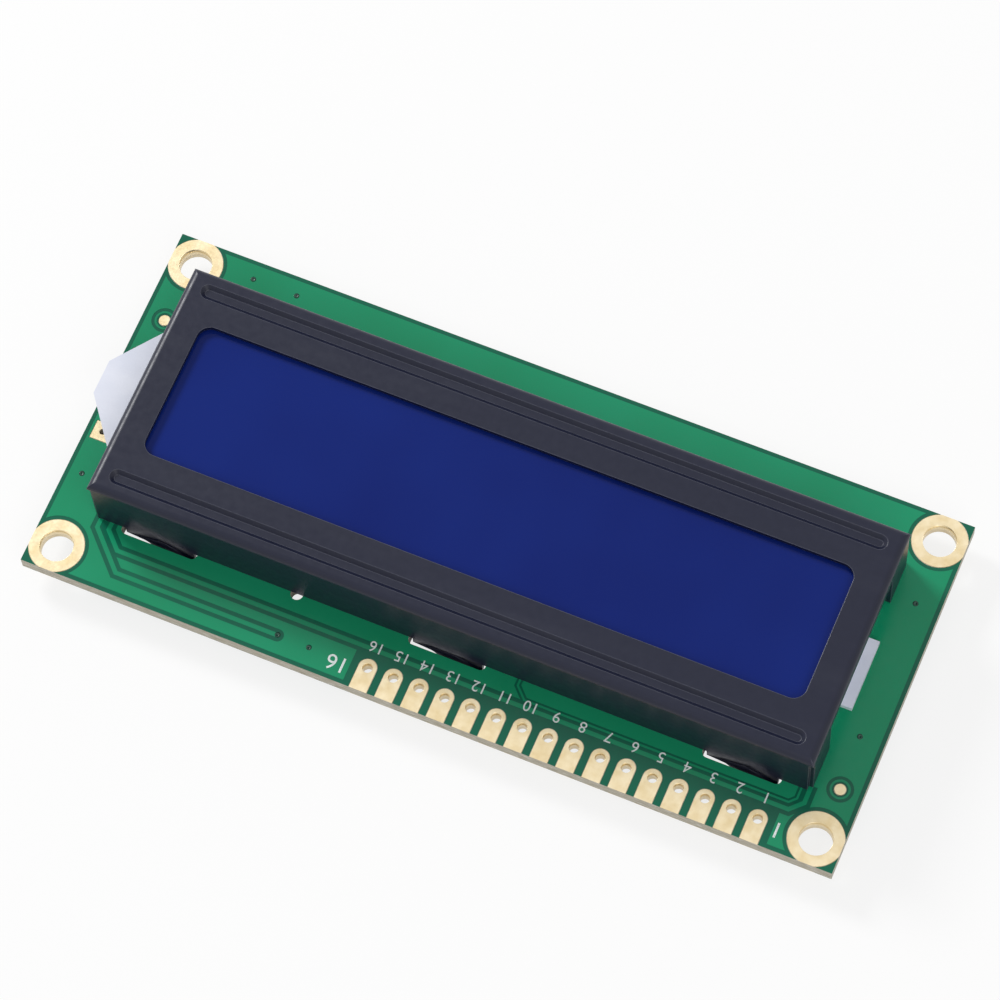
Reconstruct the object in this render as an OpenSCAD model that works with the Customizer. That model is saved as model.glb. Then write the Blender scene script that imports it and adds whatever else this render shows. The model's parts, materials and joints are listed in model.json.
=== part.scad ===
// Character LCD module, 16 x 2, with a side-lit backlight and a 16-way header.
// Millimetres. +Z points out of the display, +Y towards the header edge and
// +X towards the lit end. The origin is the centre of the four mounting
// holes, on the rear face of the circuit board.

/* [Circuit board] */
// Length of the board
board_l = 80; // [78:0.5:90]
// Width of the board
board_w = 36; // [35:0.5:44]
// Thickness of the finished board, pads and solder mask included
board_t = 1.6; // [1:0.1:2.4]
// Thickness of the copper and of the solder mask on each face
foil_t = 0.05; // [0.04:0.01:0.08]
// How far the mask stands up where there is copper under it
relief_h = 0.02; // [0.01:0.005:0.03]
// Gap between a pad and the solder mask around it
mask_gap = 0.06; // [0.04:0.01:0.1]
// Bare strip between the copper plane and the board's edge
plane_inset = 0.4; // [0.2:0.05:0.6]

/* [Mounting holes] */
// Distance from the board's edges to the centre of a mounting hole
mount_edge = 2.5; // [2.3:0.1:3.2]
// Diameter of a mounting hole
mount_d = 3.2; // [2.6:0.1:3.6]
// Diameter of the plated land round a mounting hole
land_d = 5.2; // [4.6:0.1:5.6]

/* [Header] */
// Number of header holes
pin_count = 16; // [8:1:16]
// Spacing of the header holes
pin_pitch = 2.54; // [2.5:0.02:2.56]
// Distance from the board's end to the centre of the first header hole
pin_end = 8; // [7.5:0.1:9]
// Distance from the board's long edge to the row of header holes
pin_edge = 2.3; // [1.8:0.1:2.5]
// Diameter of a header hole
pin_d = 1; // [0.8:0.05:1.1]
// Width of a header pad
pin_pad_w = 1.72; // [1.5:0.02:1.9]

/* [Bezel] */
// Distance from each end of the board to the bezel
bezel_end = 4.5; // [4:0.1:6]
// Distance from the header edge of the board to the bezel
bezel_header_side = 6.5; // [6:0.1:7.5]
// Distance from the far edge of the board to the bezel
bezel_far_side = 5.5; // [5.2:0.1:6.5]
// Height of the bezel's front face above the board
bezel_h = 7; // [6.6:0.1:8]
// Thickness of the bezel's sheet
sheet_t = 0.5; // [0.4:0.05:0.6]
// Outer radius of the bend between the front face and the walls
bend_r = 0.7; // [0.62:0.02:0.9]
// Distance from the bezel's ends to the window
window_end = 3.15; // [2.6:0.05:5]
// Distance from the bezel's long sides to the window
window_side = 5.1; // [4.8:0.05:6]
// Radius of the window's corners
window_r = 1.3; // [0.5:0.1:2]
// Distance from the bezel's long side to the centre line of a pressed groove
groove_side = 1.95; // [1.8:0.05:2.4]
// Distance from the bezel's end to the tip of a groove
groove_end = 1.55; // [1.4:0.05:4]
// Width of a groove at the front face
groove_w = 1.5; // [1.3:0.1:1.7]
// Depth of a groove
groove_h = 0.4; // [0.3:0.05:0.5]
// Width of the wall left on each side of an end opening
end_return = 4.4; // [3:0.1:5]
// Height of the lip left above an end opening
end_lip = 1.4; // [1.2:0.1:2.5]
// Size of the relief at each folded corner
corner_cut = 0.4; // [0.3:0.05:0.45]

/* [Tabs and slots] */
// Distance from the bezel's end to the centre of the outer tabs
tab_end = 6.65; // [6:0.05:9]
// Width of a tab
tab_w = 6.9; // [5:0.1:7]
// Length of a tab's straight neck below the wall
tab_neck = 0.9; // [0.8:0.05:1.2]
// How far a tab reaches below the board
tab_drop = 1.8; // [1.6:0.1:2]
// Twist of a tab, from its neck to its end
tab_twist = 27; // [10:1:28]
// Gap between the end of a slot and the tab in it
slot_end_gap = 0.35; // [0.3:0.05:0.6]
// Width of a slot
slot_w = 4; // [3:0.1:4.2]
// How far a slot reaches outside the bezel's wall
slot_out = 0.57; // [0.55:0.01:0.8]
// Radius of a slot's corners
slot_r = 0.5; // [0.3:0.1:0.8]

/* [Liquid crystal cell] */
// Thickness of each glass plate
glass_t = 1.1; // [0.7:0.05:1.1]
// Gap between the two plates
cell_gap = 0.05; // [0.04:0.01:0.08]
// Thickness of a polariser
polariser_t = 0.2; // [0.15:0.01:0.25]
// How far a polariser reaches behind the edge of the window
polariser_lap = 0.4; // [0.2:0.05:0.6]
// Width of the contact ledge on each long side of the front plate
ledge_w = 2.6; // [2.5:0.05:2.8]
// Width of the glue line round the cell
seal_w = 0.4; // [0.3:0.05:0.6]
// Width of the filling port in the glue line
fill_port_w = 3; // [2:0.5:5]
// Gap between the glass and the bezel's wall
glass_gap = 0.4; // [0.3:0.05:0.6]

/* [Backlight] */
// Thickness of the light guide
guide_t = 2.6; // [2.2:0.1:2.8]
// How far the light guide reaches behind the ends of the window
guide_lap = 0.7; // [0.5:0.05:1]
// Gap between the light guide and the sides of the end opening
tail_gap = 0.1; // [0.05:0.05:0.4]
// Width of the light guide at the tip of its tail
tail_tip_w = 3.5; // [3.2:0.1:5]
// Thickness of the white films
film_t = 0.15; // [0.1:0.01:0.2]
// Length of the frame's blocks at the ends of the rubber strips
frame_end = 1.6; // [1:0.1:2]
// Width of the lug that shows in the plain end's opening
lug_w = 7; // [5:0.1:9]
// How far the lug stands out of the bezel
lug_out = 0.55; // [0.3:0.05:0.7]
// Height of the lug above the board
lug_h = 0.6; // [0.4:0.05:1]
// Thickness of a conductive rubber strip
zebra_t = 2.2; // [1.8:0.05:2.25]
// Spacing of the contacts under the rubber strips
contact_pitch = 1.5; // [1.2:0.1:2]
// Width of the lamp in the tail
lamp_w = 3; // [2.4:0.1:3.2]
// Distance between the two leads of the lamp
lead_pitch = 2.6; // [2.4:0.1:2.8]

/* [Rear face] */
// Diameter of the larger resin cap
large_cap_d = 12.2; // [11:0.1:12.6]
// Diameter of the smaller resin cap
small_cap_d = 10.4; // [9.5:0.1:10.8]
// Height of the resin caps
cap_h = 1.4; // [1.2:0.05:1.6]
// Distance from the board's ends to the centres of the resin caps
cap_end = 27; // [26.5:0.1:28]
// Spacing of the chip resistors in their column
resistor_pitch = 2.3; // [2.2:0.05:2.6]
// Length of a chip resistor
resistor_l = 2; // [1.8:0.05:2.2]
// Width of a chip resistor
resistor_w = 1.25; // [1:0.05:1.4]
// Height of a chip resistor
resistor_h = 0.5; // [0.35:0.05:0.6]
// Width of a printed outline
ink_w = 0.22; // [0.15:0.01:0.3]
// Thickness of the printed outlines
ink_t = 0.02; // [0.01:0.005:0.03]

/* [Hidden] */

$fn = 48;
// Overlap that makes a cut clean
eps = 0.01;

// Colours
laminate = [0.66, 0.64, 0.55];
mask_green = [0.13, 0.48, 0.34];
gold = [0.92, 0.85, 0.68];
solder_grey = [0.68, 0.69, 0.71];
bezel_black = [0.17, 0.18, 0.22];
film_white = [0.92, 0.93, 0.96];
display_blue = [0.12, 0.18, 0.48];
clear_glass = [0.75, 0.85, 0.9, 0.5];
resin_black = [0.2, 0.2, 0.23];

// Board heights and edges
core_z = foil_t;
core_t = board_t - 2 * foil_t;
top_z = board_t;
end_x = board_l / 2;
edge_y = board_w / 2;

// Header and mounting holes
mount_x = end_x - mount_edge;
mount_y = edge_y - mount_edge;
header_y = edge_y - pin_edge;
pin_1_x = pin_end - end_x;
pin_n_x = pin_1_x + (pin_count - 1) * pin_pitch;

// Bezel, centred on the display's own centre line
bezel_l = board_l - 2 * bezel_end;
bezel_w = board_w - bezel_header_side - bezel_far_side;
disp_y = (bezel_far_side - bezel_header_side) / 2;
inner_l = bezel_l - 2 * sheet_t;
inner_w = bezel_w - 2 * sheet_t;
inner_bend_r = bend_r - sheet_t;
window_l = bezel_l - 2 * window_end;
window_w = bezel_w - 2 * window_side;
groove_l = bezel_l - 2 * groove_end;
groove_y = bezel_w / 2 - groove_side;
end_open_w = bezel_w - 2 * end_return;
end_open_h = bezel_h - end_lip;
wall_y = bezel_w / 2 - sheet_t / 2;

// Tabs, slots and the two holes that locate the bezel's long walls
tab_pitch = bezel_l / 2 - tab_end;
tab_x = [-tab_pitch, 0, tab_pitch];
slot_l = tab_w + 2 * slot_end_gap;
slot_y = bezel_w / 2 + slot_out - slot_w / 2;
locating_x = 15;
locating_d = 1.2;

// Heights of the cell, measured down from the underside of the grooves
front_glass_top = top_z + bezel_h - sheet_t - groove_h;
front_glass_z = front_glass_top - glass_t;
rear_glass_z = front_glass_z - cell_gap - glass_t;
rear_polariser_z = rear_glass_z - polariser_t;
glass_l = inner_l - 2 * glass_gap;
front_glass_w = inner_w - 2 * glass_gap;
rear_glass_w = front_glass_w - 2 * ledge_w;
polariser_l = window_l + 2 * polariser_lap;
polariser_w = window_w + 2 * polariser_lap;

// Heights and widths of the backlight
fit = 0.05;
guide_z = top_z + film_t;
guide_top = guide_z + guide_t;
guide_l = window_l + 2 * guide_lap;
guide_w = end_open_w - 2 * tail_gap;
tail_root_x = bezel_l / 2 + fit;
tail_slope = (guide_w - tail_tip_w) / (end_x - tail_root_x);
// The tail's films and guide start this far inside the guide's end
tail_start = guide_l / 2 - 1;
zebra_gap = 0.25;
zebra_y = rear_glass_w / 2 + zebra_gap + zebra_t / 2;
frame_l = glass_l;
frame_w = front_glass_w;
zebra_l = frame_l - 2 * frame_end;
rib_w = 2 * (zebra_y - zebra_t / 2 - fit);

// Lamp in the tail's tip, and its leads round the board's end
lamp_l = 1.1;
lamp_tip_gap = 0.25;
lamp_x = end_x - lamp_tip_gap - lamp_l;
lamp_shift = 0.25;
lamp_y = disp_y - lamp_shift;
lead_w = 0.6;
lead_t = 0.2;
lead_reach = 1.3;
lead_solder_d = 1.4;
lead_solder_h = 0.5;

// Contacts under the rubber strips, in rows between neighbouring slots
slot_clear = 0.4;
contact_run = tab_pitch - slot_l - 2 * slot_clear;
contact_n = floor(contact_run / contact_pitch);
contact_l = 1.6;

// Pads for the backlight's wires, near the lit end
light_pad_w = 1.8;
light_pad_hole_d = 0.6;
light_pad_at = [for (s = [-1, 1]) [end_x - 1.6, disp_y + s * 4]];
pin_land_d = 1.8;
pin_land_at = [for (s = [-1, 1]) [end_x - 4.1, lamp_y + s * lead_pitch / 2]];

// Marks for the placing machine
fiducial_d = 1.05;
fiducial_ring_d = 1.9;
fiducial_clear_d = 2.5;
fiducial_end = 2.2;
fiducial_far_side = 8.9;
fiducial_header_side = 7.65;
fiducial_at = [
    [end_x - fiducial_end, fiducial_far_side - edge_y],
    [fiducial_end - end_x, edge_y - fiducial_header_side]];

// Tracks
track_w = 0.42;
track_gap = 0.4;
fine_track_w = 0.2;
// Where a track runs on under the bezel
under_bezel_y = edge_y - bezel_header_side - 0.5;

// Resin caps over the two dies
cap_x = end_x - cap_end;
ring_gap = 0.15;
ring_w = 0.6;
driver_die_size = [5.2, 4.4, 0.4];
controller_die_size = [4.2, 3.6, 0.4];

// Chip parts: body, end caps and pads
end_cap_l = 0.35;
pad_l = 1.5;
pad_w = 1.4;
pad_span = 2.9;
box_l = 5;
box_w = 2.3;
// Centres of the chip resistors: a column of six, one beside it, one alone
column_end = 8.95;
beside_end = 17.45;
beside_y = -3.6;
single_end = 20.2;
single_edge = 5.25;
resistor_at = concat(
    [for (i = [-2.5:1:2.5])
        [column_end - end_x, disp_y - i * resistor_pitch]],
    [[beside_end - end_x, beside_y],
        [end_x - single_end, edge_y - single_edge]]);
// Centres of the outlines that carry no part
empty_end = 10.7;
empty_row_y = [-3.1, -6.4];
beside_drop = resistor_pitch + 0.3;
empty_at = concat(
    [[beside_end - end_x, beside_y - beside_drop]],
    [for (y = empty_row_y) [end_x - empty_end, y]]);
// Footprint of an eight-lead chip that is not fitted
chip_end = 10.9;
chip_at = [end_x - chip_end, 1.6];
chip_pitch = 1.27;
chip_pad_l = 2;
chip_pad_w = 0.62;
chip_span = 5.8;
// Three round jumpers
jumper_d = 1.7;
jumper_cut = 0.2;
jumper_pitch = 2.35;
jumper_y = 5.6;
jumper_at = [for (i = [-1:1])
    [end_x - empty_end + i * jumper_pitch, jumper_y]];

// ---- Shapes used by several pieces ----

// Rectangle with round corners, centred
module round_rect(l, w, r) {
    square([l - 2 * r, w], center = true);
    square([l, w - 2 * r], center = true);
    for (x = [-1, 1], y = [-1, 1])
        translate([x * (l / 2 - r), y * (w / 2 - r)]) circle(r);
}

// Hollow rectangle, as printed round a part
module box_line(l, w, t) {
    difference() {
        square([l, w], center = true);
        square([l - 2 * t, w - 2 * t], center = true);
    }
}

// Places its child at each mounting hole
module at_mounts() {
    for (x = [-1, 1], y = [-1, 1])
        translate([x * mount_x, y * mount_y]) children();
}

// Places its child at each header hole
module at_pins() {
    for (i = [0:pin_count - 1])
        translate([pin_1_x + i * pin_pitch, header_y]) children();
}

// Places its child at each tab slot, on both long sides
module at_slots(y) {
    for (x = tab_x, s = [-1, 1])
        translate([x, disp_y + s * y]) children();
}

// Places its child at each of a list of points
module at_points(points) {
    for (p = points)
        translate(p) children();
}

// Puts a flat shape on both faces of the board, foil_t thick
module on_both_faces() {
    linear_extrude(foil_t) children();
    translate([0, 0, top_z - foil_t]) linear_extrude(foil_t) children();
}

// Puts a flat shape of thickness t on the rear face, pointing down
module behind(t) {
    translate([0, 0, -t]) linear_extrude(t) children();
}

// Outline of one header pad: round inside, straight out to the edge
module header_pad_outline(grow = 0) {
    circle(pin_pad_w / 2 + grow);
    translate([-pin_pad_w / 2 - grow, 0])
        square([pin_pad_w + 2 * grow, pin_edge + grow]);
}

// Outline from inside the frame to the end x of the tapered tail
module tail_outline(x) {
    w = tail_tip_w + (end_x - x) * tail_slope;
    polygon([
        [tail_start, -guide_w / 2], [tail_root_x, -guide_w / 2],
        [x, -w / 2], [x, w / 2],
        [tail_root_x, guide_w / 2], [tail_start, guide_w / 2]]);
}

// Unit vector from a to b
function aim(a, b) = (b - a) / norm(b - a);

// Direction across a path at point i, long enough for a mitred corner
function across(p, i) = let (
    d1 = i > 0 ? aim(p[i - 1], p[i]) : aim(p[0], p[1]),
    d2 = i < len(p) - 1 ? aim(p[i], p[i + 1]) : d1,
    n = [-d1[1] - d2[1], d1[0] + d2[0]])
    2 * n / (n * n);

// Strip of width w along a path
module strip(p, w) {
    polygon(concat(
        [for (i = [0:len(p) - 1]) p[i] + across(p, i) * w / 2],
        [for (i = [len(p) - 1:-1:0]) p[i] - across(p, i) * w / 2]));
}

// ---- Circuit board ----

// Every opening that goes through the board
module board_openings() {
    at_mounts() circle(mount_d / 2);
    at_pins() circle(pin_d / 2);
    at_slots(slot_y) round_rect(slot_l, slot_w, slot_r);
    for (s = [-1, 1])
        translate([s * locating_x, disp_y + s * bezel_w / 2])
            circle(locating_d / 2);
    at_points(light_pad_at) circle(light_pad_hole_d / 2);
    at_points(pin_land_at) circle(light_pad_hole_d / 2);
}

module board_outline() {
    square([board_l, board_w], center = true);
}

module circuit_board() {
    color(laminate) translate([0, 0, core_z]) linear_extrude(core_t)
        difference() {
            board_outline();
            board_openings();
        }
}

// Openings in the mask that both faces share
module shared_mask_openings() {
    board_openings();
    at_mounts() circle(land_d / 2 + mask_gap);
    at_pins() header_pad_outline(mask_gap);
    at_points(light_pad_at)
        square(light_pad_w + 2 * mask_gap, center = true);
    at_points(pin_land_at) circle(pin_land_d / 2 + mask_gap);
    at_points(fiducial_at) circle(fiducial_d / 2 + mask_gap);
}

// A wide track along the header edge, and two that run round the pin row
edge_track = [
    [15, header_y + 0.2], [end_x - 8.7, header_y + 0.2],
    [end_x - 5.2, header_y - 3.3], [end_x - 5.2, under_bezel_y]];
label_track = [
    [4.7 - end_x, under_bezel_y], [4.7 - end_x, header_y - 2.95],
    [5.8 - end_x, header_y - 1.85], [end_x - 7.9, header_y - 1.85],
    [end_x - 6.3, header_y - 3.45], [end_x - 6.3, under_bezel_y]];
corner_track = [
    [5.45 - end_x, under_bezel_y], [5.45 - end_x, header_y - 3.1],
    [6.05 - end_x, header_y - 2.5], [-8.3, header_y - 2.5],
    [-7.2, header_y - 3.6], [-7.2, under_bezel_y]];

// Copper under the front mask: a plane, cut back round pads and tracks
module front_copper() {
    difference() {
        square([board_l - 2 * plane_inset, board_w - 2 * plane_inset],
            center = true);
        at_mounts() circle(land_d / 2 + track_gap);
        at_points(fiducial_at) circle(fiducial_clear_d / 2);
        translate([pin_1_x - 1.6, header_y - 1.4])
            square([pin_n_x - pin_1_x + 3.2, pin_edge + 1.4]);
        strip(edge_track, track_w + 2 * track_gap);
        translate(edge_track[0]) circle(track_w / 2 + track_gap);
        strip(label_track, track_w + 2 * track_gap);
        strip(corner_track, fine_track_w + track_gap);
    }
    fiducial_rings();
    strip(edge_track, track_w);
    strip(label_track, track_w);
    strip(corner_track, fine_track_w);
}

module fiducial_rings() {
    at_points(fiducial_at) difference() {
        circle(fiducial_ring_d / 2);
        circle(fiducial_ring_d / 2 - fine_track_w);
    }
}

module front_solder_mask() {
    color(mask_green) translate([0, 0, top_z - foil_t]) difference() {
        union() {
            linear_extrude(foil_t - relief_h) board_outline();
            linear_extrude(foil_t) front_copper();
        }
        translate([0, 0, -eps]) linear_extrude(foil_t + 2 * eps) {
            shared_mask_openings();
            contact_windows();
        }
    }
}

// Places its child in the middle of each row of contacts
module at_contact_rows() {
    for (x = [-1, 1] * tab_pitch / 2, s = [-1, 1])
        translate([x, disp_y + s * zebra_y]) children();
}

// The mask is left off round each row of contacts
module contact_windows() {
    at_contact_rows() square([contact_run, contact_l + 0.2], center = true);
}

// Wide tracks near the ends of the rear face
end_tracks = [
    [[6.2 - end_x, 12.3], [6.2 - end_x, 8], [3.7 - end_x, 5.5],
        [3.7 - end_x, 2.2]],
    [[6.1 - end_x, 5.1], [4.9 - end_x, 3.9], [4.9 - end_x, -6.4],
        [3.7 - end_x, -7.6], [3.7 - end_x, -12.5]],
    [[end_x - 8.6, 13.7], [end_x - 5.3, 13.7], [end_x - 2.7, 11.1],
        [end_x - 2.7, 5.2]]];

module back_copper() {
    for (path = end_tracks) strip(path, track_w);
    fiducial_rings();
}

module back_solder_mask() {
    color(mask_green) difference() {
        union() {
            translate([0, 0, relief_h]) linear_extrude(foil_t - relief_h)
                board_outline();
            linear_extrude(foil_t) back_copper();
        }
        translate([0, 0, -eps]) linear_extrude(foil_t + 2 * eps) {
            shared_mask_openings();
            at_points(jumper_at) circle(jumper_d / 2 + mask_gap);
            component_pad_shapes(mask_gap);
            edge_pad_shapes(mask_gap);
        }
    }
}

module header_pads() {
    color(gold) at_pins() on_both_faces() difference() {
        header_pad_outline();
        circle(pin_d / 2);
    }
}

module mounting_hole_lands() {
    color(gold) on_both_faces() difference() {
        intersection() {
            at_mounts() circle(land_d / 2);
            board_outline();
        }
        at_mounts() circle(mount_d / 2);
    }
}

module fiducial_marks() {
    color(gold) on_both_faces() at_points(fiducial_at) circle(fiducial_d / 2);
}

module backlight_pads() {
    color(gold) on_both_faces() at_points(light_pad_at) difference() {
        square(light_pad_w, center = true);
        circle(light_pad_hole_d / 2);
    }
}

module backlight_pin_lands() {
    color(gold) on_both_faces() at_points(pin_land_at) difference() {
        circle(pin_land_d / 2);
        circle(light_pad_hole_d / 2);
    }
}

// Rows of contacts that the rubber strips press on
module zebra_contacts() {
    color(gold) translate([0, 0, top_z - foil_t]) linear_extrude(foil_t)
        at_contact_rows() for (i = [0:contact_n - 1])
            translate([(i - (contact_n - 1) / 2) * contact_pitch, 0])
                square([contact_pitch / 2, contact_l], center = true);
}

// ---- Pads, print and tracks on the rear face ----

// The two pads of each chip part, and the footprint of the missing chip
module component_pad_shapes(grow = 0) {
    at_points(concat(resistor_at, empty_at)) for (s = [-1, 1])
        translate([s * pad_span / 2, 0])
            square([pad_l + 2 * grow, pad_w + 2 * grow], center = true);
    translate(chip_at) for (s = [-1, 1], i = [-1.5:1:1.5])
        translate([s * chip_span / 2, i * chip_pitch])
            square([chip_pad_l + 2 * grow, chip_pad_w + 2 * grow],
                center = true);
}

// Edge pads that take the lamp's leads: they run out past the board's end
module edge_pad_shapes(grow = 0) {
    for (s = [-1, 1])
        translate([end_x, lamp_y + s * lead_pitch / 2])
            square([2 * (lead_reach + lead_t + grow), pad_w + 2 * grow],
                center = true);
}

module component_pads() {
    color(gold) linear_extrude(foil_t) {
        component_pad_shapes();
        intersection() {
            edge_pad_shapes();
            board_outline();
        }
    }
}

// Round pads in two halves
module jumper_pads() {
    color(gold) linear_extrude(foil_t) at_points(jumper_at) difference() {
        circle(jumper_d / 2);
        rotate(20) square([jumper_cut, jumper_d + 1], center = true);
    }
}

// Printed outlines, rings and brackets
module back_legend() {
    color("white") behind(ink_t) {
        translate([-cap_x, 0]) ring_line(large_cap_d, ring_w);
        translate([cap_x, 0]) ring_line(small_cap_d, ring_w);
        for (i = [0:5]) translate(resistor_at[i])
            box_line(box_l, resistor_pitch + ink_w, ink_w);
        translate(resistor_at[6]) box_line(box_l, box_w, ink_w);
        at_points(empty_at) box_line(box_l, box_w, ink_w);
        translate(resistor_at[7]) difference() {
            box_line(box_l + 1.1, box_w + 0.2, ink_w);
            square([box_l - 3, box_w + 1], center = true);
        }
        translate(chip_at) box_line(chip_span - 3.2, 4.1 * chip_pitch, ink_w);
        at_points(jumper_at) ring_line(jumper_d, ink_w);
    }
}

// Ring of width t printed round something of diameter d
module ring_line(d, t) {
    difference() {
        circle(d / 2 + ring_gap + t);
        circle(d / 2 + ring_gap);
    }
}

// ---- Bezel ----

// Block with rounded upper edges, open to be used as skin or hollow
module pressed_block(l, w, h, r) {
    intersection() {
        rotate([90, 0, 0]) translate([0, 0, -w / 2])
            linear_extrude(w) arch(l, h, r);
        rotate([90, 0, 90]) translate([0, 0, -l / 2])
            linear_extrude(l) arch(w, h, r);
    }
}

// Upright section with two round upper corners
module arch(l, h, r) {
    translate([-l / 2, 0]) square([l, h - r]);
    translate([-l / 2 + r, 0]) square([l - 2 * r, h]);
    for (s = [-1, 1]) translate([s * (l / 2 - r), h - r]) circle(r);
}

// Half of the groove's section: mouth, sloping side, flat floor
module groove_section(mouth, depth) {
    polygon([[0, -depth], [mouth - depth, -depth], [mouth, 0], [mouth, 1],
        [0, 1]]);
}

// Pressed groove as a solid: a straight run with two round ends
module groove_body(mouth, depth, up) {
    run = groove_l - groove_w;
    intersection() {
        union() {
            translate([-run / 2, 0, 0]) rotate([90, 0, 90])
                linear_extrude(run) {
                    groove_section(mouth, depth);
                    mirror([1, 0]) groove_section(mouth, depth);
                }
            translate([run / 2, 0, 0]) rotate([0, 0, -90])
                rotate_extrude(angle = 180) groove_section(mouth, depth);
            translate([-run / 2, 0, 0]) rotate([0, 0, 90])
                rotate_extrude(angle = 180) groove_section(mouth, depth);
        }
        translate([-bezel_l / 2, -bezel_w / 2, -depth - 1])
            cube([bezel_l, bezel_w, depth + 1 + up]);
    }
}

// One tab: a straight neck, and an end twisted to grip behind the board
module tab() {
    neck_end = top_z - tab_neck;
    translate([-tab_w / 2, -sheet_t / 2, neck_end])
        cube([tab_w, sheet_t, tab_neck]);
    translate([0, 0, -tab_drop]) rotate(-tab_twist)
        linear_extrude(neck_end + tab_drop, twist = -tab_twist, slices = 6,
            segments = 4) square([tab_w, sheet_t], center = true);
}

module bezel() {
    color(bezel_black) translate([0, disp_y, 0]) {
        translate([0, 0, top_z]) difference() {
            union() {
                difference() {
                    pressed_block(bezel_l, bezel_w, bezel_h, bend_r);
                    translate([0, 0, -eps]) pressed_block(inner_l, inner_w,
                        bezel_h - sheet_t + eps, inner_bend_r);
                }
                for (s = [-1, 1])
                    translate([0, s * groove_y, bezel_h - sheet_t])
                        groove_body(groove_w / 2 + 0.2, groove_h, eps);
            }
            for (s = [-1, 1])
                translate([0, s * groove_y, bezel_h])
                    groove_body(groove_w / 2, groove_h, 1);
            translate([0, 0, bezel_h - sheet_t - 1])
                linear_extrude(sheet_t + 2)
                    round_rect(window_l, window_w, window_r);
            for (s = [-1, 1]) translate([s * bezel_l / 2, 0, -eps])
                linear_extrude(end_open_h + eps)
                    square([4 * sheet_t, end_open_w], center = true);
            for (x = [-1, 1], y = [-1, 1])
                translate([x * bezel_l / 2, y * bezel_w / 2, -eps])
                    linear_extrude(bezel_h - bend_r)
                        square(2 * corner_cut, center = true);
        }
        for (x = tab_x, s = [-1, 1])
            translate([x, s * wall_y, 0]) tab();
    }
}

// ---- Liquid crystal cell ----

// Flat plate centred on the display
module plate(l, w, z, t) {
    translate([-l / 2, disp_y - w / 2, z]) cube([l, w, t]);
}

module front_polariser() {
    color(display_blue)
        plate(polariser_l, polariser_w, front_glass_top, polariser_t);
}

module front_glass() {
    color(clear_glass) plate(glass_l, front_glass_w, front_glass_z, glass_t);
}

module rear_glass() {
    color(clear_glass) plate(glass_l, rear_glass_w, rear_glass_z, glass_t);
}

module rear_polariser() {
    color(film_white)
        plate(polariser_l, polariser_w, rear_polariser_z, polariser_t);
}

// Outline of the glue line, open at the filling port
module seal_outline() {
    difference() {
        square([glass_l, rear_glass_w], center = true);
        square([glass_l - 2 * seal_w, rear_glass_w - 2 * seal_w],
            center = true);
        translate([glass_l / 2, 0]) square([3, fill_port_w], center = true);
    }
}

module cell_seal() {
    color("gray") translate([0, disp_y, rear_glass_z + glass_t])
        linear_extrude(cell_gap) seal_outline();
}

module cell_fill() {
    color(display_blue) translate([0, disp_y, rear_glass_z + glass_t])
        linear_extrude(cell_gap)
            square([glass_l - 2 * seal_w, rear_glass_w - 2 * seal_w],
                center = true);
}

module fill_port_plug() {
    color("gray")
        translate([glass_l / 2 - seal_w, disp_y - fill_port_w / 2,
            rear_glass_z + glass_t])
            cube([seal_w, fill_port_w, cell_gap]);
}

// ---- Backlight ----

module backlight_frame() {
    color(film_white) translate([0, disp_y, top_z]) difference() {
        union() {
            linear_extrude(front_glass_z - top_z) difference() {
                square([frame_l, frame_w], center = true);
                square([zebra_l + 2 * fit, frame_w + 1], center = true);
                square([frame_l + 1, rib_w], center = true);
            }
            linear_extrude(rear_glass_z - top_z)
                square([frame_l, rib_w], center = true);
            translate([-bezel_l / 2 - lug_out, -lug_w / 2, 0])
                cube([(bezel_l - frame_l) / 2 + lug_out + frame_end / 2,
                    lug_w, lug_h]);
        }
        translate([0, 0, -eps]) linear_extrude(bezel_h) {
            square([guide_l + 2 * fit, guide_w + 2 * fit], center = true);
            translate([tail_start, -guide_w / 2 - fit])
                square([frame_l / 2, guide_w + 2 * fit]);
        }
    }
}

module light_guide() {
    color(clear_glass) translate([0, disp_y, guide_z])
        linear_extrude(guide_t) {
            square([guide_l, guide_w], center = true);
            tail_outline(lamp_x - fit);
        }
}

module reflector_film() {
    color(film_white) translate([0, disp_y, top_z]) linear_extrude(film_t) {
        square([guide_l, guide_w], center = true);
        tail_outline(end_x);
    }
}

// White film over the tail, tucked under the bezel
module tail_film() {
    color(film_white) translate([0, disp_y, guide_top])
        linear_extrude(film_t) tail_outline(end_x);
}

module diffuser_film() {
    color(film_white) translate([0, disp_y, guide_top])
        linear_extrude(film_t) translate([-guide_l / 2, -guide_w / 2])
            square([guide_l / 2 + tail_start - fit, guide_w]);
}

// Rubber strip with conducting layers, between board and glass
module zebra_strip(side) {
    translate([-zebra_l / 2, disp_y + side * zebra_y - zebra_t / 2, top_z])
        cube([zebra_l, zebra_t, front_glass_z - top_z]);
}

module header_side_zebra() {
    color("dimgray") zebra_strip(1);
}

module far_side_zebra() {
    color("dimgray") zebra_strip(-1);
}

module led_package() {
    color("ivory") translate([lamp_x, lamp_y - lamp_w / 2, guide_z])
        cube([lamp_l, lamp_w, guide_t]);
}

// Two leads that come out of the tail and fold under the board
module led_leads() {
    color(solder_grey) for (s = [-1, 1])
        translate([0, lamp_y + (s * lead_pitch + lead_w) / 2, 0])
            rotate([90, 0, 0]) linear_extrude(lead_w) polygon([
                [lamp_x + lamp_l, guide_z], [end_x, guide_z],
                [end_x, 0], [end_x - lead_reach, 0],
                [end_x - lead_reach, -lead_t], [end_x + lead_t, -lead_t],
                [end_x + lead_t, guide_z + lead_t],
                [lamp_x + lamp_l, guide_z + lead_t]]);
}

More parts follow.
